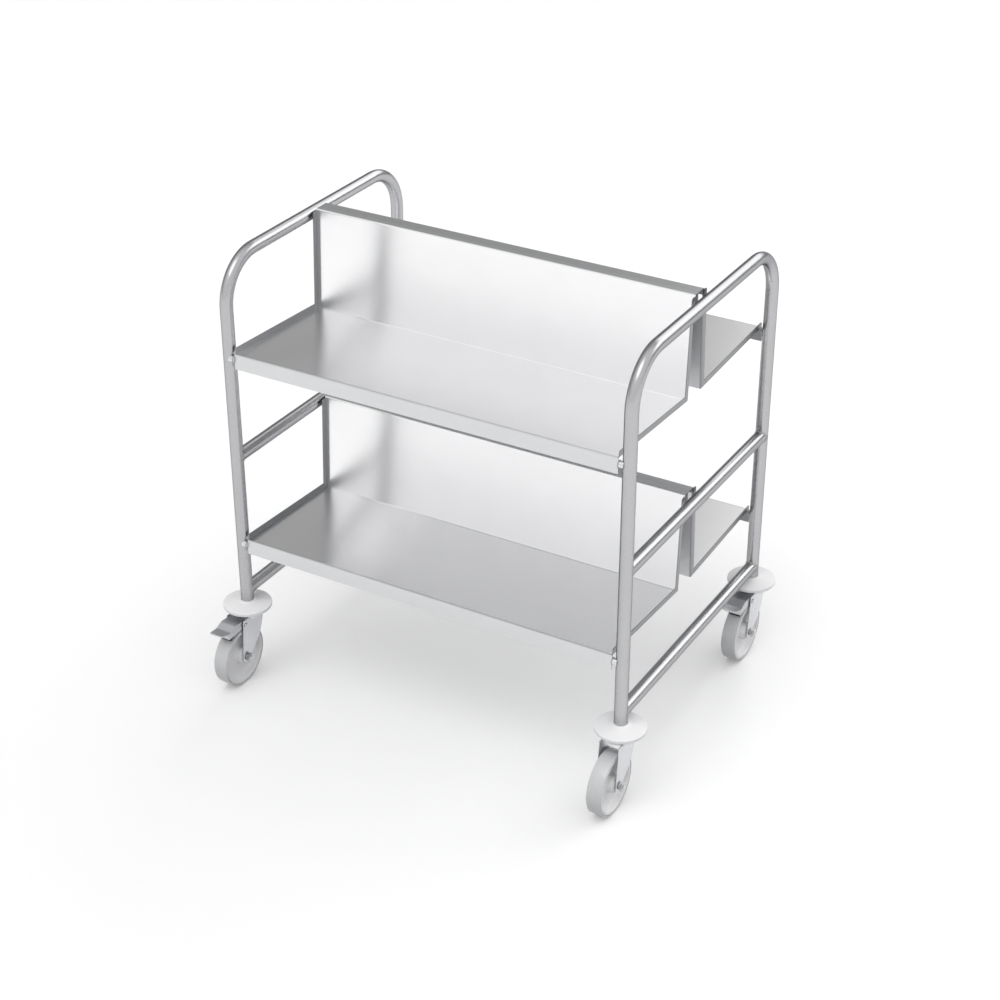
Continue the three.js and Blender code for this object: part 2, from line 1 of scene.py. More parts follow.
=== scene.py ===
# A two-tier plate trolley of stainless steel. Two bent-tube side frames carry four folded trays,
# set back to back, and each leg stands in a round buffer on a swivel caster. Two casters have a brake.
import math
import bmesh
import bpy
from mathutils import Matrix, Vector


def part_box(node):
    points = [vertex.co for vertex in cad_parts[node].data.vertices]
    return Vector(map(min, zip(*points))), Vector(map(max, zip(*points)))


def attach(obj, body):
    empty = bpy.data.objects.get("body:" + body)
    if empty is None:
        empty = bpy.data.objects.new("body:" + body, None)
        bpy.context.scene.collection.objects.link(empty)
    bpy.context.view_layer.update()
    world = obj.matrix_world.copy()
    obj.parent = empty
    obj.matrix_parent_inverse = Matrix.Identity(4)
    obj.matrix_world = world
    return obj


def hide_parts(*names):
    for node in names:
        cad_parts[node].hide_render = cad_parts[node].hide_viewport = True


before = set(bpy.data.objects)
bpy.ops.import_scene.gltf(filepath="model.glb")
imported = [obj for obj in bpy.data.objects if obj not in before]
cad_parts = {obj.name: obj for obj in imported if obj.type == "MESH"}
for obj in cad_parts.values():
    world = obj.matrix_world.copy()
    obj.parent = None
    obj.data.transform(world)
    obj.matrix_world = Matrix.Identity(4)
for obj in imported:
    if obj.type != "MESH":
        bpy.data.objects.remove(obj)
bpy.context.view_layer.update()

# ---------- Side frames ----------
# Each side is one stainless tube bent to an inverted U, with two straight bars of the same stock
# coped to its legs. The joints are TIG welded and the whole frame is belt polished to a satin.

MM = 0.001  # a millimetre, in metres
TUBE_WALL = 1.5 * MM
TUBE_BEND = 90 * MM
TUBE_SIDES = 48
BEND_STEPS = 20
BEAD_RADIUS = 1.5 * MM
BEAD_SIDES = 8
BEAD_STATIONS = 120
BEAD_RIPPLES = 30
BEAD_RIPPLE_DEPTH = 0.12  # share of the bead's radius
SATIN_STEEL = "#bcbcbe"
SATIN_EDGE = "#a6a7aa"
WELD_STEEL = "#b4b3b0"
POLISH_MARK = 1.2 * MM  # real marks are a tenth of this, too fine to show
CLOUD = 60 * MM
CLOUD_SHADE = 0.96
NOISE_LOW, NOISE_HIGH = 0.3, 0.7  # nearly all of a noise texture lies between these


def linear(hex_colour):
    """An sRGB hex colour as linear RGBA."""
    parts = [int(hex_colour[i:i + 2], 16) / 255 for i in (1, 3, 5)]
    return [c / 12.92 if c <= 0.04045 else ((c + 0.055) / 1.055) ** 2.4 for c in parts] + [1]


def add(tree, kind, inputs=None, **settings):
    """Adds a shader node. An input is a value, or another node's output that is linked to it."""
    node = tree.nodes.new("ShaderNode" + kind)
    for name, value in settings.items():
        setattr(node, name, value)
    for name, value in (inputs or {}).items():
        if isinstance(value, bpy.types.NodeSocket):
            tree.links.new(value, node.inputs[name])
        else:
            node.inputs[name].default_value = value
    return node


def blend(tree, factor, one, other):
    """Mixes two colours, and gives the mixed one. On a Mix node the colours are sockets 6, 7 and 2."""
    return add(tree, "Mix", {"Factor": factor, 6: one, 7: other}, data_type="RGBA").outputs[2]


def new_material(name):
    """An empty material with its output node, and its node tree."""
    made = bpy.data.materials.new(name)
    made.use_nodes = True
    made.node_tree.nodes.clear()
    return made, made.node_tree


def steel(name, colour, grain, roughness, mark_depth, edge="#ffffff", brushed=0.0):
    """A finished steel: fine marks, a faint cloud in the tone and a gloss that varies a little.

    Grain is the marks' number per metre along each axis, and roughness is a pair, from glossy to dull.
    Brushed steel is grained along X, which smears its reflections across the grain.
    """
    made, tree = new_material(name)
    place = add(tree, "TexCoord").outputs["Object"]
    stretched = add(tree, "Mapping", {"Vector": place, "Scale": grain}).outputs["Vector"]
    marks = add(tree, "TexNoise", {"Vector": stretched, "Scale": 1, "Detail": 2, "Roughness": 0.5})
    rough = add(tree, "MapRange", {
        "Value": marks.outputs["Fac"], "From Min": NOISE_LOW, "From Max": NOISE_HIGH,
        "To Min": roughness[0], "To Max": roughness[1]})
    relief = add(tree, "Bump", {"Height": marks.outputs["Fac"], "Distance": mark_depth})
    cloud = add(tree, "TexNoise", {"Vector": place, "Scale": 1 / CLOUD, "Detail": 1})
    shaded = [c * CLOUD_SHADE for c in linear(colour)[:3]] + [1]
    tone = blend(tree, cloud.outputs["Fac"], linear(colour), shaded)
    shader = add(tree, "BsdfPrincipled", {
        "Base Color": tone, "Metallic": 1.0, "Roughness": rough.outputs["Result"],
        "Specular Tint": linear(edge), "Anisotropic": brushed, "Normal": relief.outputs["Normal"]})
    if brushed:
        across_grain = add(tree, "Tangent", direction_type="RADIAL", axis="X")
        tree.links.new(across_grain.outputs["Tangent"], shader.inputs["Tangent"])
    add(tree, "OutputMaterial", {"Surface": shader.outputs["BSDF"]})
    return made


# Satin-polished tube: soft mirror of the room, a little darker at its edges.
satin_tube = steel(
    "satin_polished_stainless", SATIN_STEEL, edge=SATIN_EDGE,
    grain=[1 / POLISH_MARK, 1 / POLISH_MARK, 0.3 / POLISH_MARK],
    roughness=(0.25, 0.28), mark_depth=0.001 * MM)
# Welds: duller, slightly straw-toned where the heat was.
weld_steel = steel(
    "dressed_weld", WELD_STEEL, grain=[0.5 / POLISH_MARK] * 3,
    roughness=(0.35, 0.5), mark_depth=0.05 * MM)


def skin(bm, rings, loop=False, paint=(0,)):
    """Joins rings of points into one closed skin. Without a loop, both ends are capped.

    Paint holds the material index of each side of a ring in turn; the first is the caps' too.
    """
    rows = [[bm.verts.new(place) for place in ring] for ring in rings]
    count = len(rows[0])
    for row, after in zip(rows, rows[1:] + rows[:1] if loop else rows[1:]):
        for i in range(count):
            j = (i + 1) % count
            face = bm.faces.new((row[i], row[j], after[j], after[i]))
            face.material_index = paint[i % len(paint)]
    if not loop:
        for row in (rows[0], rows[-1]):
            for i in range((count - 1) // 2):
                corners = (row[i], row[i + 1], row[count - 2 - i], row[count - 1 - i])
                bm.faces.new(list(dict.fromkeys(corners))).material_index = paint[0]
    bmesh.ops.remove_doubles(bm, verts=[vert for row in rows for vert in row], dist=0.001 * MM)


def piece(name, bm, body, nodes, slot, *materials, crease=35):
    """Makes the object of a finished mesh, and says what it rides on and which nodes it stands for.

    Edges sharper than the crease, in degrees, stay sharp.
    """
    bmesh.ops.dissolve_degenerate(bm, dist=0.0001 * MM, edges=bm.edges)
    bmesh.ops.recalc_face_normals(bm, faces=bm.faces)
    for edge in bm.edges:
        edge.smooth = edge.calc_face_angle(0) < math.radians(crease)
    for face in bm.faces:
        face.smooth = True
    mesh = bpy.data.meshes.new(name)
    bm.to_mesh(mesh)
    bm.free()
    made = bpy.data.objects.new(name, mesh)
    bpy.context.collection.objects.link(made)
    for material in materials:
        mesh.materials.append(material)
    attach(made, body)
    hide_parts(*nodes)
    return made


def turns(count):
    """Angles once round a circle."""
    return [2 * math.pi * i / count for i in range(count)]


for side in ("left", "right"):
    low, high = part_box(f"{side}_frame_tube")
    tube_x = (low.x + high.x) / 2
    tube_radius = (high.x - low.x) / 2
    front_leg = low.y + tube_radius
    rear_leg = high.y - tube_radius
    top_run = high.z - tube_radius
    stations = [(Vector((tube_x, front_leg, low.z)), Vector((0, -1, 0)))]
    for bend_y, start in ((front_leg + TUBE_BEND, math.pi), (rear_leg - TUBE_BEND, math.pi / 2)):
        centre = Vector((tube_x, bend_y, top_run - TUBE_BEND))
        for i in range(BEND_STEPS + 1):
            angle = start - math.pi / 2 * i / BEND_STEPS
            outward = Vector((0, math.cos(angle), math.sin(angle)))
            stations.append((centre + TUBE_BEND * outward, outward))
    stations.append((Vector((tube_x, rear_leg, low.z)), Vector((0, 1, 0))))
    across = Vector((1, 0, 0))
    skins = []
    for radius in (tube_radius, tube_radius - TUBE_WALL):
        skins.append([
            [place + radius * (math.cos(a) * across + math.sin(a) * outward) for a in turns(TUBE_SIDES)]
            for place, outward in stations])
    bm = bmesh.new()
    skin(bm, skins[0] + skins[1][::-1], loop=True)
    piece(f"{side}_bent_tube", bm, "frame", [f"{side}_frame_tube"], "stainless_tube", satin_tube)

    for level in ("mid", "low"):
        low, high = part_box(f"{side}_{level}_bar")
        bar_z = (low.z + high.z) / 2
        bm = bmesh.new()
        rings = []
        for radius in (tube_radius, tube_radius - TUBE_WALL):
            pair = []
            for leg, inward in ((front_leg, 1), (rear_leg, -1)):
                pair.append([
                    Vector((
                        tube_x + radius * math.cos(a),
                        leg + inward * math.sqrt(max(tube_radius**2 - (radius * math.cos(a))**2, 0)),
                        bar_z + radius * math.sin(a)))
                    for a in turns(TUBE_SIDES)])
            rings += pair if radius == tube_radius else pair[::-1]
        skin(bm, rings, loop=True)
        # A weld bead follows each saddle-shaped seam between the bar and a leg.
        for leg, inward in ((front_leg, 1), (rear_leg, -1)):
            seam = [
                Vector((
                    tube_x + tube_radius * math.cos(a),
                    leg + inward * tube_radius * abs(math.sin(a)),
                    bar_z + tube_radius * math.sin(a)))
                for a in turns(BEAD_STATIONS)]
            rings = []
            for i, a in enumerate(turns(BEAD_STATIONS)):
                ahead = (seam[(i + 1) % BEAD_STATIONS] - seam[i - 1]).normalized()
                out = Vector((2 * math.cos(a), inward * abs(math.sin(a)), math.sin(a))).normalized()
                beside = ahead.cross(out)
                radius = BEAD_RADIUS * (1 + BEAD_RIPPLE_DEPTH * math.sin(BEAD_RIPPLES * a))
                rings.append([
                    seam[i] + radius * (math.cos(b) * out + math.sin(b) * beside)
                    for b in turns(BEAD_SIDES)])
            skin(bm, rings, loop=True, paint=(1,))
        piece(
            f"{side}_{level}_welded_bar", bm, "frame", [f"{side}_{level}_bar"], "stainless_tube",
            satin_tube, weld_steel)

# ---------- Trays ----------
# Four trays are folded from 1.5 mm brushed stainless sheet: a lip, a floor that falls to the spine,
# a back wall and a top flange, with an upstanding flange at each end. Each pair meets over the spine.

SHEET = 1.5 * MM
LIP_HEIGHT = 31 * MM
TRAY_TILT = math.radians(2.8)
SPINE_BASE = 55.6 * MM
SPINE_SEAM = 0.3 * MM
WALL_HEIGHT = 203 * MM
FOLD_RADIUS = 3 * MM  # outside of a fold
HEEL_RADIUS = 2 * MM
FOLD_STEPS = 6
STRIP_LAP = 0.02 * MM  # strips of one sheet run this far into each other
END_FLANGE = 11.5 * MM
FLANGE_CORNER = 4 * MM
FLANGE_TOP_DROP = 4 * MM
WINDOW_DROP = 14 * MM
WINDOW_HEIGHT = 20 * MM
WINDOW_WIDTH = 11 * MM
BRUSHED_STEEL = "#d9dadb"
PAINTED_LIGHT_SHEET = "#f8f8f9"
SHADED_FLANGE_STEEL = "#8e8f91"
MILL_STEEL = "#d4d5d7"
# Which of a tray's materials each side of a strip takes: its shown face, an end, its back, an end. The
# ends and the backs of folds take the painted shade.
FOLD_PAINT = (0, 2, 2, 2)
# The shown face of floors and walls takes the painted light.
FLOOR_PAINT = (1, 2, 3, 2)
GRAIN_WIDTH = 1.6 * MM  # real grain is a twentieth of this, too fine to show
GRAIN_LENGTH = 90 * MM
SHEET_BRUSHING = 0.85

# Folds: brushed smooth, the grain along the tray, with soft reflections of the frame.
brushed_sheet = steel(
    "brushed_stainless_sheet", BRUSHED_STEEL, brushed=SHEET_BRUSHING,
    grain=[1 / GRAIN_LENGTH, 1 / GRAIN_WIDTH, 1 / GRAIN_WIDTH],
    roughness=(0.28, 0.3), mark_depth=0.0003 * MM)
# Floors and walls: the folds' sheet painted a lighter tone as painted light, and brushed finer, so they
# look glossier than the dressed folds.
painted_light_sheet = steel(
    "painted_light_stainless_sheet", PAINTED_LIGHT_SHEET, brushed=SHEET_BRUSHING,
    grain=[1 / GRAIN_LENGTH, 1 / GRAIN_WIDTH, 1 / GRAIN_WIDTH],
    roughness=(0.22, 0.235), mark_depth=0.0002 * MM)
# End flanges, the cut ends and the backs of folds: dressed without a grain, and painted darker as painted
# shade.
shaded_flange_sheet = steel(
    "painted_shade_end_flange", SHADED_FLANGE_STEEL, grain=[1 / GRAIN_WIDTH] * 3,
    roughness=(0.3, 0.36), mark_depth=0.001 * MM)
# Hidden faces of floors and walls: left as rolled, a dull even grey.
mill_sheet = steel(
    "rolled_mill_finish", MILL_STEEL, grain=[1 / GRAIN_WIDTH] * 3,
    roughness=(0.55, 0.62), mark_depth=0.001 * MM)


def bent(corners, radii, depth=0, steps=FOLD_STEPS):
    """The line through 2-D corners with a round bend at each inner one, set in to the left by depth.

    A bend's radius is given on the line itself, and changes with depth as a folded sheet's does.
    """
    ways = [(b - a).normalized() for a, b in zip(corners, corners[1:])]
    lefts = [Vector((-way.y, way.x)) for way in ways]
    line = [corners[0] + depth * lefts[0]]
    for corner, radius, before, after, left, next_left in zip(
            corners[1:-1], radii, ways, ways[1:], lefts, lefts[1:]):
        mitre = corner + depth * (left + next_left) / (1 + left.dot(next_left))
        turn = math.atan2(before.cross(after), before.dot(after))
        hand = math.copysign(1, turn)
        bend = max(radius - hand * depth, 0)
        centre = mitre - bend * math.tan(abs(turn) / 2) * before + hand * bend * left
        for i in range(steps + 1):
            angle = turn * i / steps
            spoke = math.cos(angle) * left + math.sin(angle) * Vector((-left.y, left.x))
            line.append(centre - hand * bend * spoke)
    line.append(corners[-1] + depth * lefts[-1])
    return line


def strip(bm, spine_y, facing, corners, radii, from_x, to_x, paint=FOLD_PAINT):
    """Adds a folded strip of sheet, drawn in (distance from the spine, height)."""
    faces = [bent(corners, radii), bent(corners, radii, SHEET)]
    skin(bm, [
        [Vector((x, spine_y + facing * q, z)) for x, (q, z) in (
            (from_x, shown), (to_x, shown), (to_x, hidden), (from_x, hidden))]
        for shown, hidden in zip(*faces)], paint=paint)


for tier in ("lower", "upper"):
    for depth_name, facing in (("front", -1), ("rear", 1)):
        low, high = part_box(f"{tier}_{depth_name}_tray")
        spine_y = (high.y if facing < 0 else low.y) - facing * SPINE_SEAM / 2
        end_x = high.x
        lip_reach = (spine_y - low.y) if facing < 0 else (high.y - spine_y)
        fold = Vector((lip_reach, low.z + LIP_HEIGHT))
        along = Vector((-math.cos(TRAY_TILT), -math.sin(TRAY_TILT)))
        upward = Vector((-math.sin(TRAY_TILT), math.cos(TRAY_TILT)))
        heel = fold + along * ((lip_reach - SPINE_BASE / 2) / math.cos(TRAY_TILT))
        crest = heel + upward * WALL_HEIGHT
        floor_start = fold + along * FLANGE_CORNER
        wall_end = crest - upward * FLANGE_TOP_DROP
        bend_x = end_x - FOLD_RADIUS + STRIP_LAP
        lip = [fold - Vector((0, LIP_HEIGHT)), fold, floor_start + along * STRIP_LAP]
        top_fold = [wall_end - upward * STRIP_LAP, crest, Vector((SPINE_SEAM / 2, crest.y))]
        floor_and_wall = [floor_start, heel, wall_end]
        bm = bmesh.new()
        strip(bm, spine_y, facing, lip, [FOLD_RADIUS], -end_x, end_x)
        strip(bm, spine_y, facing, top_fold, [FOLD_RADIUS], -end_x, end_x)
        if depth_name == "front":
            strip(bm, spine_y, facing, floor_and_wall, [HEEL_RADIUS], -bend_x, bend_x, FLOOR_PAINT)
        else:
            # A window is cut at each end of the rear wall, so the sheet there is in two strips.
            inner_x = end_x - WINDOW_WIDTH
            sill = crest - upward * (WINDOW_DROP + WINDOW_HEIGHT)
            head = crest - upward * WINDOW_DROP
            strip(bm, spine_y, facing, floor_and_wall, [HEEL_RADIUS], -inner_x, inner_x, FLOOR_PAINT)
            lap_x = inner_x - STRIP_LAP
            below, above = [floor_start, heel, sill], [head, wall_end]
            for from_x, to_x in ((-bend_x, -lap_x), (lap_x, bend_x)):
                strip(bm, spine_y, facing, below, [HEEL_RADIUS], from_x, to_x, FLOOR_PAINT)
                strip(bm, spine_y, facing, above, [], from_x, to_x, FLOOR_PAINT)

        # The end flange turns up from floor and wall, and its free corners are rounded. It takes the
        # painted shade.
        inner_bend = FOLD_RADIUS - SHEET
        section = []
        for radius in (FOLD_RADIUS, inner_bend):
            bend = [math.pi / 2 * i / FOLD_STEPS for i in range(FOLD_STEPS + 1)]
            face = [(FOLD_RADIUS - radius * math.sin(a), inner_bend - radius * math.cos(a)) for a in bend]
            corner = [
                (FOLD_RADIUS - radius, END_FLANGE - FLANGE_CORNER * (1 - math.sin(a))) for a in bend]
            section += (face + corner) if radius == FOLD_RADIUS else (face + corner)[::-1]
        for end in (-1, 1):
            lines = []
            for _, rise in section:
                over = max(rise - (END_FLANGE - FLANGE_CORNER), 0) / FLANGE_CORNER
                cut = FLANGE_CORNER * (1 - math.sqrt(max(1 - over**2, 0)))
                ends = [floor_start + along * cut, heel, wall_end - upward * cut]
                lines.append(bent(ends, [HEEL_RADIUS], -rise))
            skin(bm, [
                [
                    Vector((end * (end_x - inset), spine_y + facing * line[i].x, line[i].y))
                    for (inset, _), line in zip(section, lines)]
                for i in range(len(lines[0]))], paint=(2,))
        # The short upright of the top fold, which stands steeper than 45 degrees, belongs to the wall and
        # takes its painted light.
        for face in bm.faces:
            face.normal_update()
            if face.calc_center_median().z > wall_end.y and abs(face.normal.y) > math.cos(math.pi / 4):
                face.material_index = face.material_index or 1
        piece(
            f"{tier}_{depth_name}_folded_tray", bm, "frame", [f"{tier}_{depth_name}_tray"],
            "stainless_sheet", brushed_sheet, painted_light_sheet, shaded_flange_sheet, mill_sheet)

# ---------- Tray studs ----------
# Short turned stainless studs join the ends of each lip to the legs. They are welded at both ends.

STUD_CHAMFER = 0.8 * MM
STUD_SIDES = 32
STUD_BEAD = 1.2 * MM
BRIGHT_STEEL = "#dfe0e1"

# Turned bar: brighter and smoother than the tube.
turned_steel = steel(
    "turned_bright_steel", BRIGHT_STEEL,
    grain=[1 / POLISH_MARK, 0.2 / POLISH_MARK, 0.2 / POLISH_MARK],
    roughness=(0.16, 0.24), mark_depth=0.01 * MM)


def lathe(bm, outline, centre, axis, sides, loop=False, paint=(0,)):
    """Revolves an outline of (radius, place along the axis) about Z or X through centre."""
    rings = []
    for radius, place in outline:
        ring = []
        for a in turns(sides):
            one, other = radius * math.cos(a), radius * math.sin(a)
            if axis == "Z":
                ring.append(Vector((centre.x + one, centre.y + other, place)))
            else:
                ring.append(Vector((centre.x + place, centre.y + one, centre.z + other)))
        rings.append(ring)
    skin(bm, rings, loop, paint)


for tier in ("lower", "upper"):
    for depth_name in ("front", "rear"):
        for side, outward in (("left", -1), ("right", 1)):
            node = f"{tier}_{depth_name}_{side}_stud"
            low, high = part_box(node)
            centre = (low + high) / 2
            radius = (high.z - low.z) / 2
            reach = (high.x - low.x) / 2
            outline = [(0, -reach), (radius - STUD_CHAMFER, -reach), (radius, STUD_CHAMFER - reach),
                       (radius, reach), (0, reach)]
            bm = bmesh.new()
            lathe(bm, [(r, outward * x) for r, x in outline], centre, "X", STUD_SIDES)
            bead = [(radius + STUD_BEAD * math.cos(a), STUD_BEAD * (1 + math.sin(a)) - reach)
                    for a in turns(BEAD_SIDES)]
            lathe(bm, [(r, outward * x) for r, x in bead], centre, "X", STUD_SIDES, loop=True, paint=(1,))
            piece(f"{node}_turned", bm, "frame", [node], "bright_steel", turned_steel, weld_steel)

# ---------- Casters ----------
# Each caster plugs into a leg: a zinc-plated stem and pressed fork with a riveted king pin, a ball
# race between them, and a rubber-tyred wheel on a bolted axle. A plastic buffer ring caps the joint.

CORNERS = [f"{depth}_{side}" for depth in ("front", "rear") for side in ("left", "right")]
BRAKED = ("front_left", "rear_right")


def moulded(name, colour, roughness, grit, grit_depth, shade=0.92, specular=0.4):
    """A moulded plastic or rubber: a fine mould texture and a faint change of tone over the piece."""
    made, tree = new_material(name)
    place = add(tree, "TexCoord").outputs["Object"]
    grain = add(tree, "TexNoise", {"Vector": place, "Scale": 1 / grit, "Detail": 2})
    cloud = add(tree, "TexNoise", {"Vector": place, "Scale": 1 / CLOUD, "Detail": 3})
    relief = add(tree, "Bump", {"Height": grain.outputs["Fac"], "Distance": grit_depth})
    rough = add(tree, "MapRange", {
        "Value": grain.outputs["Fac"], "From Min": NOISE_LOW, "From Max": NOISE_HIGH,
        "To Min": roughness[0], "To Max": roughness[1]})
    shaded = [c * shade for c in linear(colour)[:3]] + [1]
    tone = blend(tree, cloud.outputs["Fac"], linear(colour), shaded)
    shader = add(tree, "BsdfPrincipled", {
        "Base Color": tone, "Roughness": rough.outputs["Result"],
        "Specular IOR Level": specular, "Normal": relief.outputs["Normal"]})
    add(tree, "OutputMaterial", {"Surface": shader.outputs["BSDF"]})
    return made


BUFFER_GAP = 0.2 * MM  # between its bore and the leg
BUFFER_SKIRT = 2 * MM
BUFFER_RIM = 5 * MM
BUFFER_EDGE = 7 * MM
BUFFER_ROUND = 1.4 * MM
BUFFER_SIDES = 96
SKIRT_ROUND = 2 * MM
DOME_ROUND = 12 * MM
COLLAR_RADIUS = 19 * MM
COLLAR_DROP = 2.5 * MM
COLLAR_LIP = 2 * MM
MOULD_ROUND = 1 * MM
MOULD_GRIT = 1.5 * MM  # real grit is a tenth of this, too fine to show
MOULD_GRIT_DEPTH = 0.02 * MM
POLYETHYLENE = "#f6f6f7"

# Buffer rings: moulded grey-white polyethylene, a soft gloss.
buffer_plastic = moulded(
    "moulded_polyethylene", POLYETHYLENE, roughness=(0.3, 0.4), grit=MOULD_GRIT,
    grit_depth=MOULD_GRIT_DEPTH)

for corner in CORNERS:
    low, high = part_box(f"{corner}_bumper")
    centre = (low + high) / 2
    radius = (high.x - low.x) / 2
    bore = tube_radius + BUFFER_GAP
    foot = low.z + BUFFER_SKIRT
    dome = [
        Vector((radius - BUFFER_RIM, foot)), Vector((radius - BUFFER_RIM, low.z)),
        Vector((radius, low.z)), Vector((radius, low.z + BUFFER_EDGE)),
        Vector((COLLAR_RADIUS, high.z - COLLAR_DROP)), Vector((bore + COLLAR_LIP, high.z)),
        Vector((bore, high.z))]
    outline = bent(dome, [MOULD_ROUND, SKIRT_ROUND, BUFFER_ROUND, DOME_ROUND, MOULD_ROUND])
    bm = bmesh.new()
    lathe(bm, [(bore, foot)] + [tuple(p) for p in outline], centre, "Z", BUFFER_SIDES, loop=True)
    piece(f"{corner}_buffer_ring", bm, "frame", [f"{corner}_bumper"], "bumper_plastic", buffer_plastic)

# Stem and ball race: turned steel. The stem is the leg's plug, its bearing flange and the riveted
# king pin in one, in bright zinc. The race is a plain ring with a groove round it.

PLATED_STEEL = "#d8d9dc"
EDGE_ROUND = 0.6 * MM
CASTER_SIDES = 64
STEM_GAP = 0.3 * MM  # to the tube, to the buffer and to the race
PLUG_ROUND = 3 * MM
KING_PIN_RADIUS = 6 * MM
KING_PIN_HEAD = 4 * MM
KING_PIN_HEAD_RADIUS = 9 * MM
RACE_BORE = 15 * MM
RACE_GROOVE = 0.8 * MM
RACE_GROOVE_DEPTH = 1 * MM

# Zinc plate: greyer than the stainless, with a slightly mottled gloss.
zinc_plate = steel(
    "bright_zinc_plate", PLATED_STEEL, grain=[0.6 / POLISH_MARK] * 3,
    roughness=(0.28, 0.4), mark_depth=0.02 * MM)

for corner in CORNERS:
    low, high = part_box(f"{corner}_stem")
    race_low, race_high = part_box(f"{corner}_ball_race")
    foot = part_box(f"{corner}_bumper")[0].z + BUFFER_SKIRT
    centre = (low + high) / 2
    flange_radius = (high.x - low.x) / 2
    flange_low = race_high.z + STEM_GAP
    flange_high = foot - STEM_GAP
    plug = tube_radius - TUBE_WALL - STEM_GAP
    head_top = low.z + KING_PIN_HEAD
    profile = [
        Vector((0, low.z)), Vector((KING_PIN_HEAD_RADIUS, low.z)),
        Vector((KING_PIN_HEAD_RADIUS, head_top)), Vector((KING_PIN_RADIUS, head_top)),
        Vector((KING_PIN_RADIUS, flange_low)), Vector((flange_radius, flange_low)),
        Vector((flange_radius, flange_high)), Vector((plug, flange_high)),
        Vector((plug, high.z)), Vector((0, high.z))]
    radii = [KING_PIN_HEAD / 2, EDGE_ROUND, 0, 0, EDGE_ROUND, EDGE_ROUND, 0, PLUG_ROUND]
    bm = bmesh.new()
    lathe(bm, [tuple(p) for p in bent(profile, radii, steps=4)], centre, "Z", CASTER_SIDES)
    piece(f"{corner}_turned_stem", bm, "frame", [f"{corner}_stem"], "zinc_steel", zinc_plate)

    race_radius = (race_high.x - race_low.x) / 2
    groove = (race_low.z + race_high.z) / 2
    profile = [
        Vector((RACE_BORE, race_low.z)), Vector((race_radius, race_low.z)),
        Vector((race_radius, groove - RACE_GROOVE / 2)),
        Vector((race_radius - RACE_GROOVE_DEPTH, groove)),
        Vector((race_radius, groove + RACE_GROOVE / 2)), Vector((race_radius, race_high.z)),
        Vector((RACE_BORE, race_high.z))]
    outline = bent(profile, [EDGE_ROUND, 0, 0, 0, EDGE_ROUND], steps=3)
    bm = bmesh.new()
    lathe(
        bm, [tuple(p) for p in outline], (race_low + race_high) / 2, "Z", CASTER_SIDES, loop=True)
    piece(f"{corner}_race_ring", bm, "frame", [f"{corner}_ball_race"], "bright_steel", turned_steel)

# Fork: a cupped crown with two legs, pressed from 3 mm plate. Each leg has a shallow raised panel
# behind its front edge and an eye for the axle.

FORK_PLATE = 3 * MM
FORK_GAP = 0.3 * MM  # between the parts on one axle or pin
CROWN_PLATE = 4 * MM
CROWN_SKIRT = 5 * MM
CROWN_WALL = 3 * MM
CROWN_ROUND = 2.5 * MM
CROWN_FILLET = 1 * MM
CROWN_BORE = 6.4 * MM
FORK_FRONT = 44 * MM
FORK_REAR = 20 * MM
EYE_RADIUS = 12.5 * MM
EYE_END = math.radians(-20)  # below level behind the axle, where the rear edge leaves the eye
EYE_STEPS = 14
SWEEP_STEPS = 10
PANEL_RISE = 0.9 * MM
PANEL_ROUND = 0.72 * MM
PANEL_INSET = 2.5 * MM  # from the rear edge
PANEL_TOP = 1 * MM  # below the crown's underside
PANEL_TOP_FRONT = 12.6 * MM  # behind the leg's front edge, at the crown
PANEL_FRONT = 9 * MM  # behind the eye's front
PANEL_FRONT_RISE = 23.75 * MM  # of the front edge's lower end, above the axle
PANEL_FOOT_REACH = 4 * MM  # of the panel's lowest corner, from the axle
PANEL_FOOT_RISE = 18.75 * MM
PLATE_ROUND = 0.7 * MM


def rounded_plate(bm, outline, from_x, to_x, edge_round):
    """Adds a plate drawn in (y, z), from one x to the other, with its rims rounded."""
    near = [bm.verts.new((from_x, y, z)) for y, z in outline]
    far = [bm.verts.new((to_x, y, z)) for y, z in outline]
    faces = [bm.faces.new(near), bm.faces.new(far[::-1])]
    for i in range(len(outline)):
        faces.append(bm.faces.new((near[i - 1], near[i], far[i], far[i - 1])))
    rims = [edge for face in faces[:2] for edge in face.edges]
    bmesh.ops.bevel(
        bm, geom=rims, offset=edge_round, segments=2, profile=0.5, affect="EDGES", clamp_overlap=True)


def bezier(points, steps):
    """Points along a cubic Bezier curve."""
    a, b, c, d = points
    made = []
    for i in range(1, steps + 1):
        t = i / steps
        made.append((1 - t)**3 * a + 3 * (1 - t)**2 * t * b + 3 * (1 - t) * t * t * c + t**3 * d)
    return made


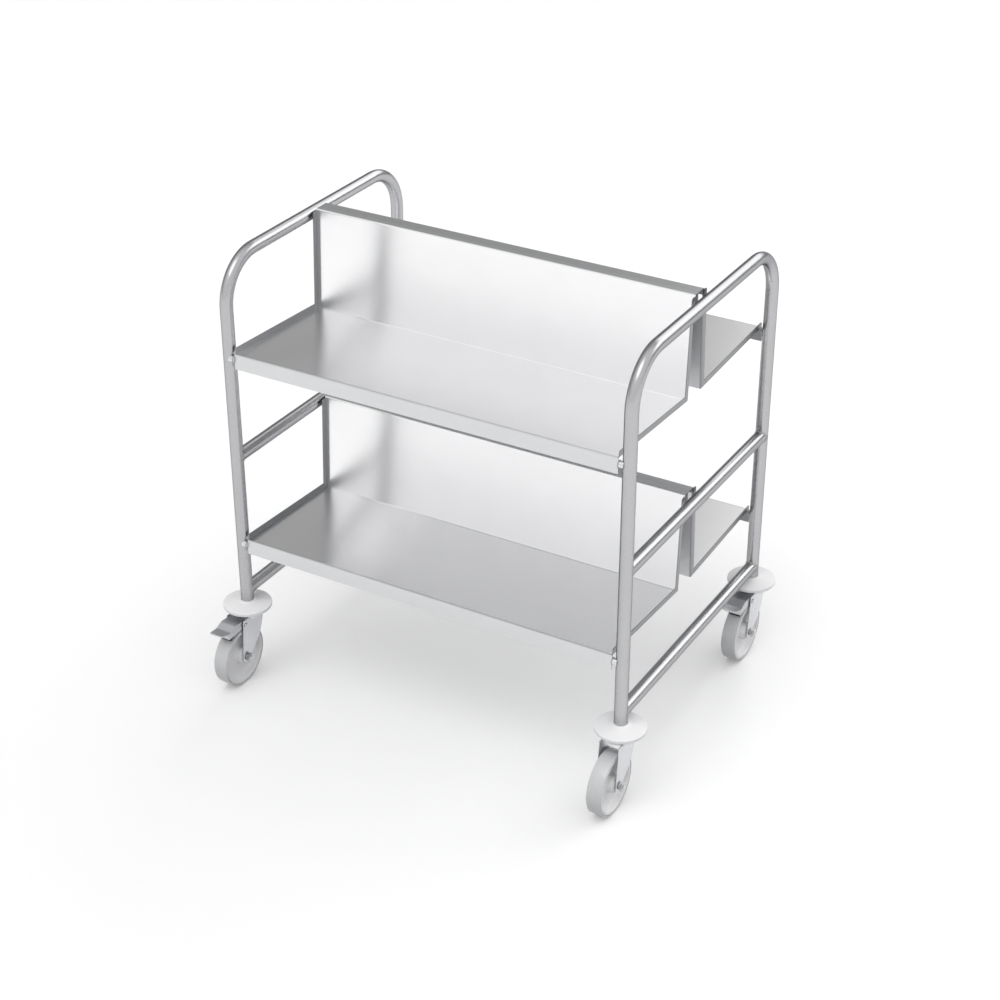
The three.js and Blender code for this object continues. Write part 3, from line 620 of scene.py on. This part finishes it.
for corner in CORNERS:
    low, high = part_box(f"{corner}_fork")
    race_low, race_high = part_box(f"{corner}_ball_race")
    tyre_low, tyre_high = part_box(f"{corner}_tyre")
    sleeve_low, sleeve_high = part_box(f"{corner}_axle_sleeve")
    swivel = (race_low + race_high) / 2
    axle = (tyre_low + tyre_high) / 2
    crown_top = high.z
    crown_radius = high.y - swivel.y
    crown_low = crown_top - CROWN_PLATE
    profile = [
        Vector((CROWN_BORE, crown_low)), Vector((crown_radius - CROWN_WALL, crown_low)),
        Vector((crown_radius - CROWN_WALL, crown_low - CROWN_SKIRT)),
        Vector((crown_radius, crown_low - CROWN_SKIRT)), Vector((crown_radius, crown_top)),
        Vector((CROWN_BORE, crown_top))]
    outline = bent(profile, [CROWN_FILLET, EDGE_ROUND, EDGE_ROUND, CROWN_ROUND], steps=4)
    bm = bmesh.new()
    lathe(bm, [tuple(p) for p in outline], swivel, "Z", CASTER_SIDES, loop=True)
    eye = [
        Vector((axle.y + EYE_RADIUS * math.cos(a), axle.z + EYE_RADIUS * math.sin(a)))
        for a in (math.pi + (math.pi + EYE_END) * i / EYE_STEPS for i in range(EYE_STEPS + 1))]
    # The rear edge sweeps from the eye up to the crown.
    crown_z = crown_low + CROWN_PLATE / 2
    rear_y = swivel.y + FORK_REAR
    sweep = bezier([
        eye[-1], Vector((axle.y + EYE_RADIUS * 2, axle.z + EYE_RADIUS)),
        Vector((rear_y - EYE_RADIUS / 2, axle.z + EYE_RADIUS * 2)),
        Vector((rear_y, crown_low - CROWN_SKIRT))], SWEEP_STEPS)
    leg = [Vector((rear_y, crown_z)), Vector((swivel.y - FORK_FRONT, crown_z))] + eye + sweep
    # The panel follows the leg's rear edge. Its front edge runs down a finger's width behind the leg's.
    panel = [Vector((y - PANEL_INSET, z)) for y, z in sweep[2:]]
    panel += [
        Vector((rear_y - PANEL_INSET, crown_low - PANEL_TOP)),
        Vector((swivel.y - FORK_FRONT + PANEL_TOP_FRONT, crown_low - PANEL_TOP)),
        Vector((axle.y - EYE_RADIUS + PANEL_FRONT, axle.z + PANEL_FRONT_RISE)),
        Vector((axle.y + PANEL_FOOT_REACH, axle.z + PANEL_FOOT_RISE))]
    for sign in (-1, 1):
        inner = swivel.x + sign * ((sleeve_high.x - sleeve_low.x) / 2 + FORK_GAP)
        outer = inner + sign * FORK_PLATE
        rounded_plate(bm, leg, inner, outer - sign * PANEL_RISE, PLATE_ROUND)
        rounded_plate(bm, panel, outer - sign * 2 * PANEL_RISE, outer, PANEL_ROUND)
    piece(f"{corner}_pressed_fork", bm, f"caster_{corner}", [f"{corner}_fork"], "zinc_steel", zinc_plate)

# Axle: a hexagon bolt and nut through the fork and a steel sleeve, all bright zinc. The faces of the
# hexagons are chamfered, and a washer face stands under each.

HEX_FLATS = 16 * MM
BOLT_HEAD = 6.5 * MM
NUT_HEIGHT = 8 * MM
BOLT_RADIUS = 5 * MM
WASHER_RADIUS = 7.6 * MM
WASHER_FACE = 0.6 * MM
HEX_CHAMFER = 0.7 * MM
HEX_TOP_INSET = 1.12 * MM  # of a ring in the top face, from the corners
THREAD_PITCH = 0.8 * MM  # finer than a real thread of this size, so that the short tail shows turns
THREAD_DEPTH = 0.35 * MM
BOLT_STEEL = "#cdced0"

# Bolt steel: the same plate as the fork's, a little smoother and a shade darker.
bolt_steel = steel(
    "plated_bolt_steel", BOLT_STEEL, grain=[0.6 / POLISH_MARK] * 3,
    roughness=(0.2, 0.3), mark_depth=0.01 * MM)


def hexagon(bm, centre, inner, outer):
    """Adds a chamfered hexagon on the X axis, with its washer face at inner."""
    across = HEX_FLATS / math.sqrt(3)
    way = math.copysign(1, outer - inner)
    washer = inner + way * WASHER_FACE
    lathe(bm, [(0, inner), (WASHER_RADIUS, inner), (WASHER_RADIUS, washer), (0, washer)],
          centre, "X", CASTER_SIDES)
    outline = [
        (0, washer), (across - HEX_CHAMFER, washer), (across, washer + way * HEX_CHAMFER / 2),
        (across, outer - way * HEX_CHAMFER / 2), (across - HEX_CHAMFER, outer),
        (across - HEX_TOP_INSET, outer), (0, outer)]
    lathe(bm, outline, centre, "X", 6)


for corner in CORNERS:
    tyre_low, tyre_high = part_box(f"{corner}_tyre")
    sleeve_low, sleeve_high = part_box(f"{corner}_axle_sleeve")
    axle = (tyre_low + tyre_high) / 2
    reach = (sleeve_high.x - sleeve_low.x) / 2
    seat = reach + FORK_PLATE + 2 * FORK_GAP
    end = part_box(f"{corner}_axle_bolt")[1].x - axle.x
    bm = bmesh.new()
    hexagon(bm, axle, -seat, -seat - BOLT_HEAD)
    shank = [(0, -seat), (BOLT_RADIUS, -seat), (BOLT_RADIUS, seat + NUT_HEIGHT)]
    turned = seat + NUT_HEIGHT
    while turned < end - THREAD_PITCH:
        shank += [
            (BOLT_RADIUS - THREAD_DEPTH, turned + THREAD_PITCH / 2),
            (BOLT_RADIUS, turned + THREAD_PITCH)]
        turned += THREAD_PITCH
    shank += [(BOLT_RADIUS - 2 * THREAD_DEPTH, end), (0, end)]
    lathe(bm, shank, axle, "X", CASTER_SIDES // 2)
    body = f"caster_{corner}"
    piece(f"{corner}_hex_bolt", bm, body, [f"{corner}_axle_bolt"], "bright_steel", bolt_steel, crease=25)
    bm = bmesh.new()
    hexagon(bm, axle, seat, seat + NUT_HEIGHT)
    piece(f"{corner}_hex_nut", bm, body, [f"{corner}_axle_nut"], "bright_steel", bolt_steel, crease=25)
    sleeve_radius = (sleeve_high.z - sleeve_low.z) / 2
    bore = BOLT_RADIUS + FORK_GAP
    bm = bmesh.new()
    outline = [
        (bore, -reach), (sleeve_radius - EDGE_ROUND, -reach), (sleeve_radius, EDGE_ROUND - reach),
        (sleeve_radius, reach - EDGE_ROUND), (sleeve_radius - EDGE_ROUND, reach), (bore, reach)]
    lathe(bm, outline, axle, "X", CASTER_SIDES // 2, loop=True)
    piece(f"{corner}_sleeve_tube", bm, body, [f"{corner}_axle_sleeve"], "bright_steel", bolt_steel)

# Wheel: a grey moulded nylon core with a deep web, a stepped hub and a flange round each side, and a
# grey rubber tyre moulded on between the flanges, with a slightly crowned tread.

WHEEL_SIDES = 96
HUB_GAP = 0.4 * MM  # between its bore and the sleeve
HUB_RADIUS = 17 * MM
HUB_STEP = 12 * MM
HUB_STEP_DROP = 1.2 * MM
HUB_DRAFT = 0.6 * MM
WEB_HALF = 2.5 * MM
RIM_WALL = 53 * MM
RIM_BARREL = 55.3 * MM
RIM_FLANGE = 58.8 * MM
RIM_FLANGE_PLATE = 1.6 * MM
RIM_INSET = 0.5 * MM  # from the tyre's side
WALL_DRAFT = 1.5 * MM
WEB_ROUND = 3.5 * MM
FINE_ROUND = 0.4 * MM
TYRE_INNER = 55.5 * MM
TYRE_GAP = 0.2 * MM  # between the tyre and the flanges
TYRE_ROUND = 1.4 * MM
TREAD_CROWN = 0.5 * MM
TREAD_FLAT = 2 * MM
SEAM_GROOVE = 1.6 * MM
RUBBER_GRIT = 1.2 * MM
NYLON = "#f3f3f4"
GREY_RUBBER = "#d4d5d7"

# Nylon core: plain pale grey, a dull gloss.
nylon_core = moulded(
    "moulded_nylon", NYLON, roughness=(0.4, 0.5), grit=MOULD_GRIT, grit_depth=MOULD_GRIT_DEPTH)
# Tyre: grey non-marking rubber with a satin sheen, and a faint cloud of darker grey.
tyre_rubber = moulded(
    "grey_rubber", GREY_RUBBER, roughness=(0.24, 0.32), grit=RUBBER_GRIT,
    grit_depth=MOULD_GRIT_DEPTH, shade=0.9, specular=0.7)


def mirrored(half):
    """A wheel's closed outline of (radius, place) from its half on the positive side."""
    return half + [(radius, -place) for radius, place in reversed(half)]


for corner in CORNERS:
    tyre_low, tyre_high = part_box(f"{corner}_tyre")
    core_low, core_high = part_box(f"{corner}_wheel_core")
    sleeve_low, sleeve_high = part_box(f"{corner}_axle_sleeve")
    axle = (tyre_low + tyre_high) / 2
    wheel_radius = (tyre_high.z - tyre_low.z) / 2
    tyre_side = (tyre_high.x - tyre_low.x) / 2
    hub_end = (core_high.x - core_low.x) / 2
    bore = (sleeve_high.z - sleeve_low.z) / 2 + HUB_GAP
    hub_face = hub_end - HUB_STEP_DROP
    rim_side = tyre_side - RIM_INSET
    flange_back = rim_side - RIM_FLANGE_PLATE
    profile = [
        Vector((bore, hub_end)), Vector((HUB_STEP, hub_end)),
        Vector((HUB_STEP + HUB_DRAFT, hub_face)), Vector((HUB_RADIUS, hub_face)),
        Vector((HUB_RADIUS + HUB_DRAFT, WEB_HALF)), Vector((RIM_WALL - WALL_DRAFT, WEB_HALF)),
        Vector((RIM_WALL, rim_side)), Vector((RIM_FLANGE, rim_side)),
        Vector((RIM_FLANGE, flange_back)), Vector((RIM_BARREL, flange_back))]
    radii = [
        FINE_ROUND, FINE_ROUND, MOULD_ROUND, WEB_ROUND, WEB_ROUND, MOULD_ROUND, FINE_ROUND, 0]
    half = bent(profile, radii, steps=4)
    bm = bmesh.new()
    lathe(bm, mirrored([tuple(p) for p in half]), axle, "X", WHEEL_SIDES, loop=True)
    piece(
        f"{corner}_moulded_core", bm, f"wheel_{corner}", [f"{corner}_wheel_core"], "core_plastic",
        nylon_core)

    seam = RIM_FLANGE + SEAM_GROOVE
    profile = [
        Vector((TYRE_INNER, flange_back - TYRE_GAP)), Vector((seam, flange_back - TYRE_GAP)),
        Vector((seam, tyre_side)), Vector((wheel_radius - TREAD_CROWN, tyre_side)),
        Vector((wheel_radius, TREAD_FLAT))]
    half = [tuple(p) for p in bent(profile, [0, FINE_ROUND, TYRE_ROUND], steps=5)]
    bm = bmesh.new()
    lathe(bm, mirrored(half), axle, "X", WHEEL_SIDES, loop=True)
    piece(f"{corner}_rubber_tyre", bm, f"wheel_{corner}", [f"{corner}_tyre"], "tyre_rubber", tyre_rubber)

# Foot brake, on two casters: a pedal pressed from 3 mm plate as a housing over the tyre, with cheeks,
# a front wall and a humped tread that dips and flares out to its tip, a rubber shoe on a short arm,
# and the riveted pin of both.

PEDAL_PLATE = 3 * MM
PEDAL_CHEEK = 2 * MM
HOUSING_LENGTH = 49 * MM
HOUSING_DROP = 8 * MM
WALL_PROUD = 0.5 * MM  # the front wall stands this far ahead of the cheeks' front edge
PEDAL_EDGE = 0.3 * MM
FACE_STEP = 0.25 * MM  # keeps two faces of one pressing out of the same plane
PEDAL_HEEL = 4 * MM
HEEL_RISE = 10 * MM  # rises and reaches are from the pin, to the tread's upper face
HUMP_REACH = 28 * MM
HUMP_RISE = 12.4 * MM
HUMP_BEND = 12 * MM
DIP_REACH = 46 * MM
DIP_RISE = 5 * MM
DIP_BEND = 14 * MM
TIP_RISE = 9.7 * MM
TIP_INSET = 0.8 * MM
TIP_TAPER = 2.5 * MM
PEDAL_CORNER = 2.5 * MM
CORNER_STEPS = 6
PIN_RADIUS = 3 * MM
BOSS_RADIUS = 6 * MM
RIVET_DOME = 2 * MM
SHOE_ARM = 12 * MM
SHOE_GAP = 1.5 * MM
SHOE_DEPTH = 8 * MM
SHOE_START = math.radians(15)
SHOE_END = math.radians(34)
SHOE_ROUND = 1 * MM
ARM_LOW, ARM_MIDDLE, ARM_TOP = 0.3, 0.5, 0.9  # where the arm's corners lie in the shoe's depth
ARM_HALF = 4.8 * MM  # at the pin
SHADED_PEDAL_STEEL = "#c4c5c8"
BLACK_RUBBER = "#3c3d40"

# Pedal: plated like the fork, duller from shoes, and painted darker as painted shade.
shaded_pedal_steel = steel(
    "worn_and_shaded_pedal", SHADED_PEDAL_STEEL, grain=[0.4 / POLISH_MARK] * 3,
    roughness=(0.32, 0.4), mark_depth=0.01 * MM)
# Shoe: black rubber, matt.
shoe_rubber = moulded(
    "black_rubber", BLACK_RUBBER, roughness=(0.6, 0.75), grit=RUBBER_GRIT,
    grit_depth=2 * MOULD_GRIT_DEPTH, specular=0.3)

for corner in BRAKED:
    pedal_low, pedal_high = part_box(f"{corner}_brake_pedal")
    pin_low, pin_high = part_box(f"{corner}_brake_pin")
    tyre_low, tyre_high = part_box(f"{corner}_tyre")
    shoe_low, shoe_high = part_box(f"{corner}_brake_shoe")
    pin = (pin_low + pin_high) / 2
    axle = (tyre_low + tyre_high) / 2
    wheel_radius = (tyre_high.z - tyre_low.z) / 2
    half_width = (pedal_high.x - pedal_low.x) / 2
    tip_half_width = half_width - TIP_TAPER
    front_y = pin.y - HOUSING_LENGTH
    tread_line = [
        Vector((pin.y + PEDAL_HEEL, pin.z + HEEL_RISE)),
        Vector((pin.y - HUMP_REACH, pin.z + HUMP_RISE)),
        Vector((pin.y - DIP_REACH, pin.z + DIP_RISE)),
        Vector((pedal_low.y + TIP_INSET, pin.z + TIP_RISE))]
    tread_bends = [HUMP_BEND, DIP_BEND]
    shown = bent(tread_line, tread_bends)
    hidden = bent(tread_line, tread_bends, PEDAL_PLATE)
    tip_way = (tread_line[3] - tread_line[2]).normalized()
    # Towards the tip the plate tapers, and it is split into strips so that its corners can be round.
    rings = [(place, under, half_width) for place, under in zip(shown[:-1], hidden)]
    corner_turns = [math.pi / 2 * i / CORNER_STEPS for i in range(CORNER_STEPS + 1)]
    under_tip = hidden[-1] - shown[-1]
    for a in corner_turns:
        place = shown[-1] - tip_way * PEDAL_CORNER * (1 - math.sin(a))
        rings.append((place, place + under_tip, tip_half_width - PEDAL_CORNER * (1 - math.cos(a))))
    bm = bmesh.new()
    skin(bm, [
        [Vector((pin.x - width, place.x, place.y)), Vector((pin.x + width, place.x, place.y)),
         Vector((pin.x + width, under.x, under.y)), Vector((pin.x - width, under.x, under.y))]
        for place, under, width in rings])
    boss = [
        Vector((pin.y + BOSS_RADIUS * math.cos(a), pin.z + BOSS_RADIUS * math.sin(a)))
        for a in (-math.pi / 2 + math.pi / 2 * i / FOLD_STEPS for i in range(FOLD_STEPS + 1))]
    # The cheeks and the front wall end inside the tread's plate, halfway through it.
    half_plate = Vector((0, PEDAL_PLATE / 2))
    wall_top = pin.z + DIP_RISE - PEDAL_PLATE / 2
    wall_foot = pin.z - HOUSING_DROP
    cheek = boss + [
        tread_line[0] - half_plate.yx - half_plate, tread_line[1] - half_plate,
        Vector((front_y, wall_top)), Vector((front_y, wall_foot))]
    for sign in (-1, 1):
        outer = pin.x + sign * (half_width - FACE_STEP)
        rounded_plate(bm, cheek, outer - sign * PEDAL_CHEEK, outer, PEDAL_EDGE)
    front_wall = [
        Vector((front_y + PEDAL_CHEEK, wall_top)), Vector((front_y - WALL_PROUD, wall_top)),
        Vector((front_y - WALL_PROUD, wall_foot)), Vector((front_y + PEDAL_CHEEK, wall_foot))]
    wall_half = half_width - 2 * FACE_STEP
    rounded_plate(bm, front_wall, pin.x - wall_half, pin.x + wall_half, PEDAL_EDGE)
    piece(
        f"{corner}_pressed_pedal", bm, f"pedal_{corner}", [f"{corner}_brake_pedal"], "zinc_steel",
        shaded_pedal_steel)

    face = wheel_radius + SHOE_GAP
    middle = (SHOE_START + SHOE_END) / 2
    face_end = face / math.cos(middle - SHOE_START)
    back = face + SHOE_DEPTH
    block = [
        Vector((axle.y - r * math.sin(a), axle.z + r * math.cos(a))) for r, a in (
            (face_end, SHOE_START), (face_end, SHOE_END), (back, SHOE_END), (back, SHOE_START))]
    arm = [
        Vector((axle.y - r * math.sin(a), axle.z + r * math.cos(a))) for r, a in (
            (face + SHOE_DEPTH * ARM_LOW, SHOE_START), (face + SHOE_DEPTH * ARM_MIDDLE, middle),
            (face + SHOE_DEPTH * ARM_TOP, middle))]
    arm += [Vector((pin.y, pin.z + ARM_HALF)), Vector((pin.y, pin.z - ARM_HALF))]
    block_side = (shoe_high.x - shoe_low.x) / 2
    arm_side = SHOE_ARM / 2
    bm = bmesh.new()
    rounded_plate(bm, block, pin.x - block_side, pin.x + block_side, SHOE_ROUND)
    rounded_plate(bm, arm, pin.x - arm_side, pin.x + arm_side, PEDAL_EDGE)
    bore = PIN_RADIUS + FORK_GAP
    outline = [
        (bore, -arm_side), (BOSS_RADIUS - EDGE_ROUND, -arm_side), (BOSS_RADIUS, EDGE_ROUND - arm_side),
        (BOSS_RADIUS, arm_side - EDGE_ROUND), (BOSS_RADIUS - EDGE_ROUND, arm_side), (bore, arm_side)]
    lathe(bm, outline, pin, "X", CASTER_SIDES // 2, loop=True)
    piece(
        f"{corner}_rubber_shoe", bm, f"shoe_{corner}", [f"{corner}_brake_shoe"], "shoe_rubber",
        shoe_rubber)

    reach = (pin_high.x - pin_low.x) / 2
    seat = reach - RIVET_DOME
    head = (pin_high.z - pin_low.z) / 2
    dome = [(head * math.cos(a), seat + RIVET_DOME * math.sin(a)) for a in corner_turns[1:-1]]
    half = [(PIN_RADIUS, seat), (head, seat)] + dome + [(0, reach)]
    outline = [(radius, -place) for radius, place in reversed(half)] + half
    bm = bmesh.new()
    lathe(bm, outline, pin, "X", CASTER_SIDES // 2)
    piece(
        f"{corner}_riveted_pin", bm, f"caster_{corner}", [f"{corner}_brake_pin"], "bright_steel",
        bolt_steel)

# ---------- Floor, light and camera ----------
# A plain white floor, a studio that is bright in front, above and to the right, a softbox behind,
# and the photograph's viewpoint. Places and sizes are in metres.

CAMERA_PLACE = Vector((1.7457, -3.0047, 2.392))
CAMERA_AIM = Vector((-0.0044, 0.0293, 0.3701))
LENS = 74.313  # mm
SENSOR_WIDTH = 36  # mm
WHITE = "#ffffff"
FLOOR_SIZE = 400  # far enough for its edge to stay out of sight
FLOOR_PAPER = "#f4f4f4"
FLOOR_ROUGHNESS = 0.35
FLOOR_SHEEN = 0.3
FLOOR_BOUNCE = "#9a9a9a"  # the light that it throws back on to the object
FLOOR_LIFT = 0.13  # what the paper shows above its own colour, to the eye and in mirrors only
STUDIO_SIDE = Vector((0.35, -0.68, 0.65))
STUDIO_EDGE = (-0.25, 0.6)  # cosines of the angle from that side, at the dimmest and the brightest
STUDIO_DIM = 0.34
STUDIO_BRIGHT = 0.93
SOFTBOX_LEVEL = 2.0
# Each edge of the softbox: an axis, and the directions along it where its light starts and is full.
SOFTBOX_EDGES = (
    ("X", -0.4, -0.2), ("X", 0.72, 0.62), ("Y", 0.3, 0.45), ("Z", 0.27, 0.31), ("Z", 0.72, 0.62))
KEY_LIGHT = 0.55
KEY_WIDTH = math.radians(35)
KEY_SIDE = Vector((-0.1, -1.1, 2.2))

floor_material, tree = new_material("white_studio_floor")
ray = add(tree, "LightPath")
seen = 0
for kind in ("Camera", "Glossy", "Transmission"):
    this_kind = ray.outputs[f"Is {kind} Ray"]
    seen = add(tree, "Math", {0: seen, 1: this_kind}, operation="MAXIMUM").outputs["Value"]
paper = add(tree, "BsdfPrincipled", {
    "Base Color": blend(tree, seen, linear(FLOOR_BOUNCE), linear(FLOOR_PAPER)),
    "Roughness": FLOOR_ROUGHNESS, "Specular IOR Level": FLOOR_SHEEN})
lift = add(tree, "Math", {0: seen, 1: FLOOR_LIFT}, operation="MULTIPLY")
glow = add(tree, "Emission", {"Color": linear(WHITE), "Strength": lift.outputs["Value"]})
both = add(tree, "AddShader", {0: paper.outputs["BSDF"], 1: glow.outputs["Emission"]})
add(tree, "OutputMaterial", {"Surface": both.outputs["Shader"]})
bm = bmesh.new()
bmesh.ops.create_grid(bm, x_segments=1, y_segments=1, size=FLOOR_SIZE / 2)
floor_mesh = bpy.data.meshes.new("studio_floor")
bm.to_mesh(floor_mesh)
bm.free()
floor = bpy.data.objects.new("studio_floor", floor_mesh)
bpy.context.collection.objects.link(floor)
floor_mesh.materials.append(floor_material)

world = bpy.data.worlds.new("studio")
bpy.context.scene.world = world
world.use_nodes = True
tree = world.node_tree
tree.nodes.clear()
way = add(tree, "TexCoord").outputs["Generated"]
towards = add(
    tree, "VectorMath", {0: way, 1: STUDIO_SIDE.normalized()}, operation="DOT_PRODUCT").outputs["Value"]
level = add(tree, "MapRange", {
    "Value": towards, "From Min": STUDIO_EDGE[0], "From Max": STUDIO_EDGE[1],
    "To Min": STUDIO_DIM, "To Max": STUDIO_BRIGHT}, interpolation_type="SMOOTHSTEP")
# A long softbox hangs behind the trolley. The tubes show it as a white stripe.
ways = add(tree, "SeparateXYZ", {"Vector": way})
box = SOFTBOX_LEVEL
for axis, start, full in SOFTBOX_EDGES:
    edge = add(tree, "MapRange", {
        "Value": ways.outputs[axis], "From Min": start, "From Max": full},
        interpolation_type="SMOOTHSTEP")
    box = add(tree, "Math", {0: box, 1: edge.outputs["Result"]}, operation="MULTIPLY").outputs["Value"]
lit = add(tree, "Math", {0: box, 1: level.outputs["Result"]}, operation="ADD")
sky = add(tree, "Background", {"Color": linear(WHITE), "Strength": lit.outputs["Value"]})
add(tree, "OutputWorld", {"Surface": sky.outputs["Background"]})

# The key light comes from high in front, wide enough to leave only soft shadows.
key = bpy.data.lights.new("key_light", "SUN")
key.energy = KEY_LIGHT
key.angle = KEY_WIDTH
key_object = bpy.data.objects.new("key_light", key)
key_object.rotation_euler = KEY_SIDE.to_track_quat("Z", "Y").to_euler()
bpy.context.collection.objects.link(key_object)

camera_data = bpy.data.cameras.new("camera")
camera_data.lens = LENS
camera_data.sensor_width = SENSOR_WIDTH
camera_data.clip_end = FLOOR_SIZE
camera = bpy.data.objects.new("camera", camera_data)
camera.location = CAMERA_PLACE
camera.rotation_euler = (CAMERA_AIM - CAMERA_PLACE).to_track_quat("-Z", "Y").to_euler()
bpy.context.collection.objects.link(camera)
bpy.context.scene.camera = camera
bpy.context.scene.view_settings.view_transform = "Standard"
